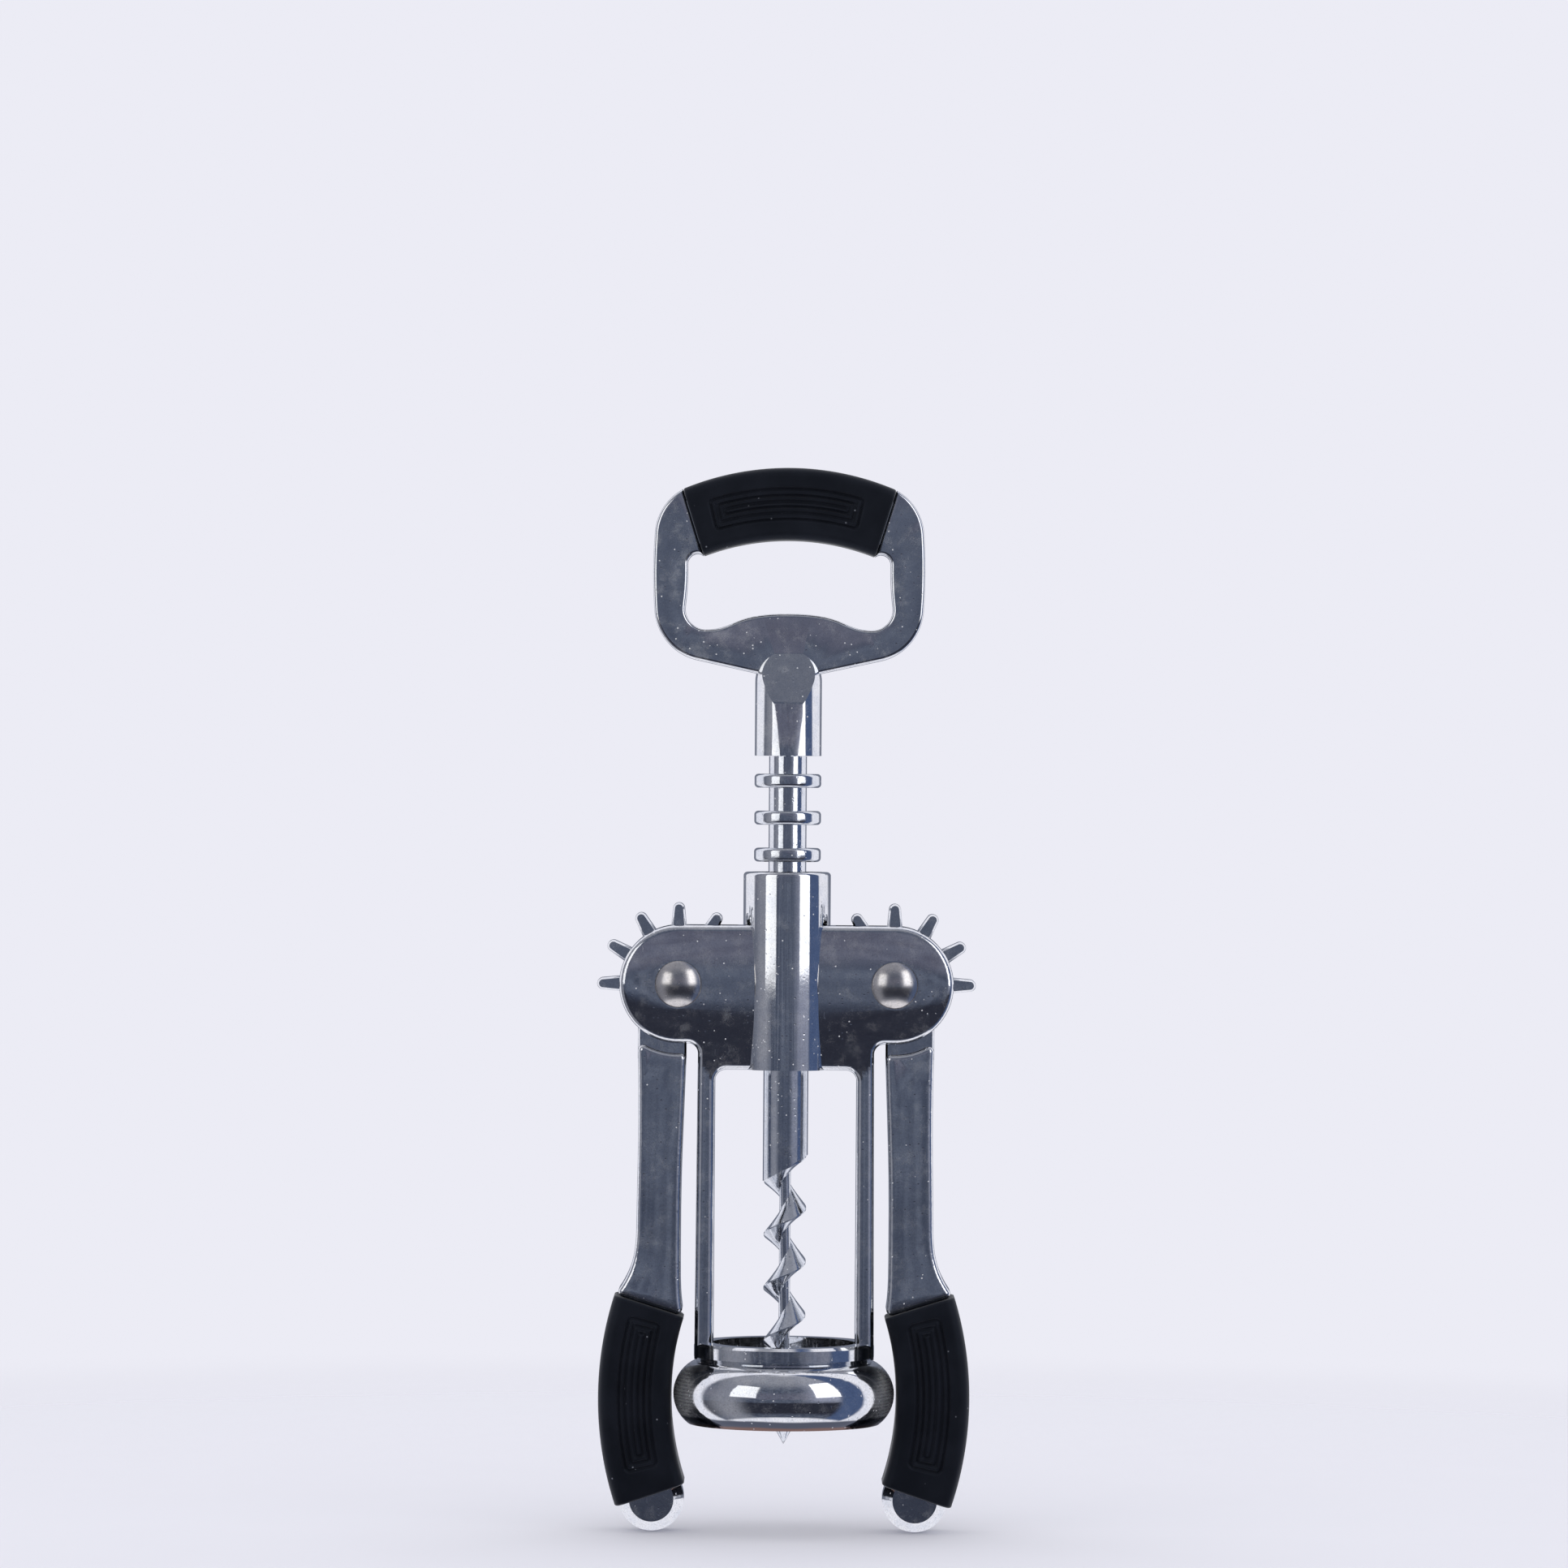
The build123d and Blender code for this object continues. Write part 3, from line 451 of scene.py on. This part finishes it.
def sleeve_tree():
    """Straight sleeve with rounded edges and grooved faces, bent so that its sides lie on two arcs."""
    tree = bpy.data.node_groups.new("rubber_sleeve", "GeometryNodeTree")
    sizes = (
        "Length", "Width", "Thickness", "Rounding", "Fineness",
        "Inner Radius", "Inner Centre", "Inner Half Angle",
        "Outer Radius", "Outer Centre", "Outer Half Angle",
        "Panel Length", "Panel Width", "Panel Shift", "Panel Corner",
        "Groove Pitch", "Groove Half Width", "Groove Depth", "End Rounding",
    )
    for size in sizes:
        tree.interface.new_socket(size, in_out="INPUT", socket_type="NodeSocketFloat")
    tree.interface.new_socket("Finish", in_out="INPUT", socket_type="NodeSocketMaterial")
    tree.interface.new_socket("Geometry", in_out="OUTPUT", socket_type="NodeSocketGeometry")
    bench = NodeBench(tree)
    given = bench.add("NodeGroupInput").socket.node
    size = {s.name: Wire(s) for s in given.outputs if s.name}
    half_length = size["Length"] / 2
    half_width = size["Width"] / 2
    half_thick = size["Thickness"] / 2

    spine = bench.add(
        "GeometryNodeCurvePrimitiveLine",
        {},
        {
            "Start": bench.add("ShaderNodeCombineXYZ", {}, {"X": half_length * -1}),
            "End": bench.add("ShaderNodeCombineXYZ", {}, {"X": half_length}),
        },
    )
    section = bench.add(
        "GeometryNodeCurvePrimitiveQuadrilateral",
        {},
        {"Width": size["Thickness"], "Height": size["Width"]},
    )
    section = bench.add(
        "GeometryNodeFilletCurve",
        {"mode": "POLY"},
        {"Curve": section, "Radius": size["Rounding"], "Count": CORNER_STEPS},
    )
    spine, section = [
        bench.add(
            "GeometryNodeResampleCurve",
            {"mode": "LENGTH"},
            {"Curve": curve, "Length": size["Fineness"]},
        )
        for curve in (spine, section)
    ]
    solid = bench.add(
        "GeometryNodeCurveToMesh",
        {},
        {"Curve": spine, "Profile Curve": section, "Fill Caps": True},
    )
    solid = bench.add("GeometryNodeMergeByDistance", {}, {"Geometry": solid, "Distance": SEAM_WELD})

    here = bench.add("GeometryNodeInputPosition")
    along = bench.add("ShaderNodeSeparateXYZ", {}, {"Vector": here}, out="X")
    across = bench.add("ShaderNodeSeparateXYZ", {}, {"Vector": here}, out="Z")
    deep = bench.add("ShaderNodeSeparateXYZ", {}, {"Vector": here}, out="Y")

    # rounded ends: the section draws in over the last stretch, on a quarter circle
    to_end = (half_length - along.math("ABSOLUTE")).math("MAXIMUM", 0.0)
    run = (1 - to_end / size["End Rounding"]).math("MAXIMUM", 0.0)
    draw_in = size["End Rounding"] * (1 - (1 - run * run).math("MAXIMUM", 0.0).math("SQRT"))
    across_in = across * (1 - draw_in / half_width)
    deep_in = deep * (1 - draw_in / half_thick)

    # grooves: nested rounded rectangles on the front and the back face
    corner = size["Panel Corner"]
    over_x = (along - size["Panel Shift"]).math("ABSOLUTE") - size["Panel Length"] / 2 + corner
    over_z = across.math("ABSOLUTE") - size["Panel Width"] / 2 + corner
    out_x = over_x.math("MAXIMUM", 0.0)
    out_z = over_z.math("MAXIMUM", 0.0)
    outside = (out_x * out_x + out_z * out_z).math("SQRT")
    inside = over_x.math("MAXIMUM", over_z).math("MINIMUM", 0.0)
    edge = outside + inside - corner
    step = size["Groove Pitch"]
    nearest = (edge / step * -1).math("ROUND").math("MAXIMUM", 0.0)
    nearest = nearest.math("MINIMUM", GROOVES_PER_FACE - 1)
    off = (edge + nearest * step).math("ABSOLUTE") / size["Groove Half Width"]
    groove = (1 - off * off).math("MAXIMUM", 0.0)
    on_face = deep.math("ABSOLUTE") > half_thick * FACE_STARTS_AT
    cut = groove * size["Groove Depth"] * on_face
    deep_cut = deep_in - deep.math("SIGN") * cut

    # bend: each point lies between the inner arc and the outer arc
    share = along / half_length
    blend = across_in / size["Width"] + 0.5
    inner_turn = share * size["Inner Half Angle"]
    outer_turn = share * size["Outer Half Angle"]
    inner_x = inner_turn.math("SINE") * size["Inner Radius"]
    outer_x = outer_turn.math("SINE") * size["Outer Radius"]
    inner_z = inner_turn.math("COSINE") * size["Inner Radius"] + size["Inner Centre"]
    outer_z = outer_turn.math("COSINE") * size["Outer Radius"] + size["Outer Centre"]
    bent = bench.add(
        "ShaderNodeCombineXYZ",
        {},
        {
            "X": inner_x + (outer_x - inner_x) * blend,
            "Y": deep_cut,
            "Z": inner_z + (outer_z - inner_z) * blend,
        },
    )
    moved = bench.add("GeometryNodeSetPosition", {}, {"Geometry": solid, "Position": bent})
    real = bench.add("GeometryNodeRealizeInstances", {}, {"Geometry": moved})
    done = bench.add("GeometryNodeSetMaterial", {}, {"Geometry": real, "Material": size["Finish"]})
    bench.add("NodeGroupOutput", {}, {"Geometry": done})
    return tree


sleeve_maker = sleeve_tree()


def moulded_sleeve(name, sizes, place):
    """Mesh of one sleeve from the tree, carried to its place."""
    blank = put_in_scene(name + "_blank", bpy.data.meshes.new(name + "_blank"))
    maker = blank.modifiers.new("sleeve", "NODES")
    maker.node_group = sleeve_maker
    for socket in sleeve_maker.interface.items_tree:
        if socket.in_out == "INPUT":
            maker[socket.identifier] = sizes[socket.name]
    seen = blank.evaluated_get(bpy.context.evaluated_depsgraph_get())
    mesh = bpy.data.meshes.new_from_object(seen)
    mesh.name = name
    bpy.data.objects.remove(blank)
    mesh.transform(place)
    work = bmesh.new()
    work.from_mesh(mesh)
    bmesh.ops.remove_doubles(work, verts=work.verts, dist=SEAM_WELD)
    bmesh.ops.recalc_face_normals(work, faces=work.faces)
    work.to_mesh(mesh)
    work.free()
    mesh.shade_smooth()
    mesh.set_sharp_from_angle(angle=SLEEVE_EDGE)
    return put_in_scene(name, mesh)


groove_sizes = {
    "Groove Pitch": 1.12 * MM,
    "Groove Half Width": 0.36 * MM,
    "Groove Depth": 0.42 * MM,
    "End Rounding": 0.4 * MM,
    "Finish": grip_rubber,
}

# the handle's sleeve: both arcs go through its ends and the middle of the bar, in millimetres
handle_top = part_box("handle_grip")[1].z
OUTER_HALF_CHORD, OUTER_RISE = 19.2, 3.9
INNER_HALF_CHORD, INNER_RISE = 15.4, 2.9
BAR_WIDTH = 13.0
outer_radius = (OUTER_HALF_CHORD**2 + OUTER_RISE**2) / (2 * OUTER_RISE)
inner_radius = (INNER_HALF_CHORD**2 + INNER_RISE**2) / (2 * INNER_RISE)
handle_sizes = {
    "Length": 36.6 * MM,
    "Width": BAR_WIDTH * MM,
    "Thickness": 8.5 * MM,
    "Rounding": 1.6 * MM,
    "Fineness": 0.17 * MM,
    "Inner Radius": inner_radius * MM,
    "Inner Centre": -(inner_radius + BAR_WIDTH) * MM,
    "Inner Half Angle": math.asin(INNER_HALF_CHORD / inner_radius),
    "Outer Radius": outer_radius * MM,
    "Outer Centre": -outer_radius * MM,
    "Outer Half Angle": math.asin(OUTER_HALF_CHORD / outer_radius),
    "Panel Length": 27.6 * MM,
    "Panel Width": 5.4 * MM,
    "Panel Shift": -0.6 * MM,
    "Panel Corner": 0.7 * MM,
    **groove_sizes,
}
handle_sleeve = moulded_sleeve("handle_sleeve", handle_sizes, Matrix.Translation((0, 0, handle_top)))
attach(handle_sleeve, "handle")
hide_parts("handle_grip")

# the right wing's sleeve lies on two arcs about one centre; the left one is its mirror image
GRIP_CENTRE = Vector((-27.9 * MM, 0, 4.8 * MM))
GRIP_INNER, GRIP_OUTER = 48.1, 61.2
GRIP_HIGH, GRIP_LOW = 17.5, -18.7
grip_half_angle = math.radians((GRIP_HIGH - GRIP_LOW) / 2)
grip_middle = math.radians((GRIP_HIGH + GRIP_LOW) / 2)
wing_sizes = {
    "Length": 2 * grip_half_angle * (GRIP_INNER + GRIP_OUTER) / 2 * MM,
    "Width": (GRIP_OUTER - GRIP_INNER) * MM,
    "Thickness": 12.5 * MM,
    "Rounding": 2.0 * MM,
    "Fineness": 0.18 * MM,
    "Inner Radius": GRIP_INNER * MM,
    "Inner Centre": 0.0,
    "Inner Half Angle": grip_half_angle,
    "Outer Radius": GRIP_OUTER * MM,
    "Outer Centre": 0.0,
    "Outer Half Angle": grip_half_angle,
    "Panel Length": 26.6 * MM,
    "Panel Width": 5.6 * MM,
    "Panel Shift": -1.2 * MM,
    "Panel Corner": 0.8 * MM,
    **groove_sizes,
}
right_place = Matrix.Translation(GRIP_CENTRE) @ Matrix.Rotation(math.pi / 2 - grip_middle, 4, "Y")
for side, mirror in (("right", 1), ("left", -1)):
    side_place = Matrix.Diagonal((mirror, 1, 1, 1)) @ right_place
    sleeve = moulded_sleeve(side + "_sleeve", wing_sizes, side_place)
    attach(sleeve, side + "_wing")
    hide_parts(side + "_lever_grip")

# ---------------------------------------------------------------- floor
# Pale lilac paper under the wings' ends, matt and faintly fibrous.
# It thins out with distance, so that it melts into the backdrop behind the tool.
FLOOR_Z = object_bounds()[0].z - 0.2 * MM
FLOOR_REACH = 12.0
FLOOR_FADES = (0.06, 0.42)
floor_paint, bench = new_finish("floor_paint")
place = bench.add("ShaderNodeTexCoord", out="Object")
mottle = bench.noise(place, scale=60.0, detail=3.0)
fibre = bench.noise(place, scale=1800.0, detail=2.0)
from_tool = bench.add("ShaderNodeVectorMath", {"operation": "LENGTH"}, {0: place}, out="Value")
bump = bench.add("ShaderNodeBump", {}, {"Strength": 0.2, "Distance": 0.1 * MM, "Height": fibre})
matt = bench.add(
    "ShaderNodeBsdfPrincipled",
    {},
    {
        "Base Color": bench.mix_color(mottle, (0.85, 0.85, 0.935, 1.0), (0.86, 0.86, 0.945, 1.0)),
        "Roughness": 0.85 + mottle * 0.1,
        "Normal": bump,
        "Alpha": 1 - from_tool.ramp(*FLOOR_FADES),
    },
)
bench.add("ShaderNodeOutputMaterial", {}, {"Surface": matt})
floor_mesh = bpy.data.meshes.new("floor")
floor_corners = ((-1, -1), (1, -1), (1, 1), (-1, 1))
floor_mesh.from_pydata(
    [(x * FLOOR_REACH, y * FLOOR_REACH, FLOOR_Z) for x, y in floor_corners],
    [],
    [(0, 1, 2, 3)],
)
floor_mesh.materials.append(floor_paint)
floor = put_in_scene("floor", floor_mesh)
floor.visible_glossy = False


# ---------------------------------------------------------------- soft boxes
# Two upright panels of plain light in front of the tool, left and right of the camera.
# The chrome mirrors them as the white bands on its rounded edges.
def soft_box(name, azimuth, near, low, high, width, power):
    """Upright panel facing the tool. Azimuth 0 is the camera's side, positive to the right."""
    turn = math.radians(azimuth)
    light = bpy.data.lights.new(name, "AREA")
    light.shape = "RECTANGLE"
    light.size = width
    light.size_y = high - low
    light.energy = power
    panel = put_in_scene(name, light)
    panel.location = (math.sin(turn) * near, -math.cos(turn) * near, (low + high) / 2)
    panel.rotation_euler = (math.radians(90.0), 0.0, turn)
    panel.visible_camera = False
    panel.visible_diffuse = False


soft_box("left_box", azimuth=-43.0, near=0.55, low=0.080, high=0.48, width=0.29, power=0.36)
soft_box("right_box", azimuth=48.0, near=0.50, low=0.080, high=0.60, width=0.25, power=0.50)


# ---------------------------------------------------------------- room
# Dark room in front of the tool and pale walls beside and behind it, so that the chrome's flats
# are dark and its edges white. Matt surfaces get even white light, and the camera sees a lilac wall.
def between(angle, opens, closes):
    """1 between two edges, each eased over a pair of angles in degrees."""
    return angle.ramp(*opens) * (1 - angle.ramp(*closes))


PALE_WALL = (0.838, 0.838, 0.913, 1.0)
PALE_SIDES = (0.90, 0.905, 0.99, 1.0)
EVEN_WHITE = (1.0, 1.0, 1.0, 1.0)
room = bpy.data.worlds.new("studio")
bpy.context.scene.world = room
room.use_nodes = True
room.node_tree.nodes.clear()
bench = NodeBench(room.node_tree)
way = bench.add("ShaderNodeTexCoord", out="Generated")
way_x = bench.add("ShaderNodeSeparateXYZ", {}, {"Vector": way}, out="X")
way_y = bench.add("ShaderNodeSeparateXYZ", {}, {"Vector": way}, out="Y")
way_z = bench.add("ShaderNodeSeparateXYZ", {}, {"Vector": way}, out="Z")
level = (way_x * way_x + way_y * way_y).math("SQRT")
rise = way_z.math("ARCTAN2", level) * math.degrees(1.0)
front_turn = way_x.math("ARCTAN2", way_y * -1) * math.degrees(1.0)
rear_turn = way_x.math("ARCTAN2", way_y) * math.degrees(1.0)
drift = bench.noise(way, scale=9.0, detail=3.0, rough=0.6)
patch = bench.noise(way, scale=15.0, detail=3.0, rough=0.6)

# the dark front, from its patchy navy to its lighter and darker parts
front = between(front_turn, (-98.0, -90.0), (90.0, 96.0)) * between(rise, (-56.0, -50.0), (78.0, 92.0))
front_parts = (
    (between(rise, (3.0, 7.0), (16.0, 30.0)) * 0.35, (0.20, 0.19, 0.25, 1.0)),
    (between(rise, (-48.0, -34.0), (-7.5, -3.0)) * 0.88, (0.020, 0.021, 0.032, 1.0)),
    (
        between(front_turn, (14.0, 42.0), (60.0, 66.0)) * rise.ramp(-10.0, 2.0) * 0.8,
        (0.36, 0.38, 0.49, 1.0),
    ),
    (between(front_turn, (-104.0, -66.0), (-58.0, -34.0)) * 0.85, (0.28, 0.29, 0.34, 1.0)),
    (rise.ramp(30.0, 62.0) * 0.8, (0.34, 0.35, 0.40, 1.0)),
    (front_turn.ramp(58.0, 68.0), (0.075, 0.11, 0.215, 1.0)),
)
dark = bench.mix_color(patch.ramp(0.30, 0.70), (0.058, 0.070, 0.108, 1.0), (0.125, 0.145, 0.200, 1.0))
for amount, colour in front_parts:
    dark = bench.mix_color(amount, dark, colour)

# the grey patch behind the tool, for the views from the back
rear = between(rear_turn, (-46.0, -34.0), (34.0, 46.0)) * between(rise, (-40.0, -30.0), (34.0, 46.0))
rear_grey = bench.mix_color(drift, (0.10, 0.115, 0.16, 1.0), (0.26, 0.28, 0.35, 1.0))
seen = bench.mix_color(rear, PALE_SIDES, rear_grey)
seen = bench.mix_color(front, seen, dark)
for_camera = bench.add("ShaderNodeLightPath", out="Is Camera Ray")
for_matt = bench.add("ShaderNodeLightPath", out="Is Diffuse Ray")
seen = bench.mix_color(for_matt, seen, EVEN_WHITE)
seen = bench.mix_color(for_camera, seen, PALE_WALL)
backdrop = bench.add("ShaderNodeBackground", {}, {"Color": seen, "Strength": 1.0})
bench.add("ShaderNodeOutputWorld", {}, {"Surface": backdrop})
